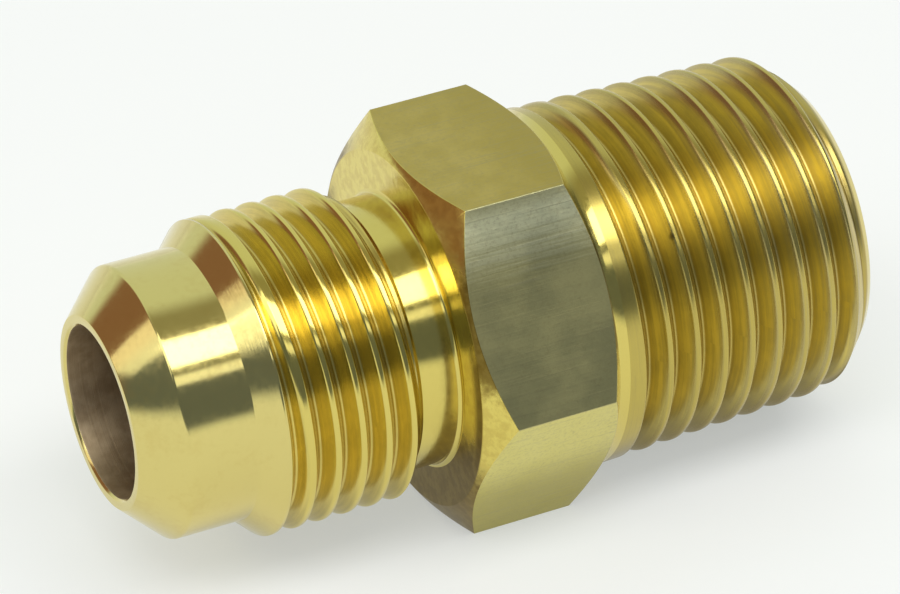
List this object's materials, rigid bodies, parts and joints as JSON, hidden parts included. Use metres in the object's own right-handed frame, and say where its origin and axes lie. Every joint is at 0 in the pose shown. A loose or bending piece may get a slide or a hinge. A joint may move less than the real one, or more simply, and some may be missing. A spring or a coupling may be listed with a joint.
{
  "type": "flare fitting",
  "caption": "Straight brass half union: 45 degree flare on a parallel thread, hexagon, taper pipe thread, through bore.",
  "frame": {"origin": "centre of the flare mouth, where the turning axis crosses the seat's front plane", "axes": "+X along the turning axis from the flare mouth to the pipe end, +Z square to a hexagon flat, so the part lies on the opposite flat"},
  "size_m": [0.0457, 0.0256, 0.0222],
  "materials": {
    "brass": "turned and polished"
  },
  "bodies": {
    "root": {"adapter_body": "brass"}
  },
  "joints": []
}
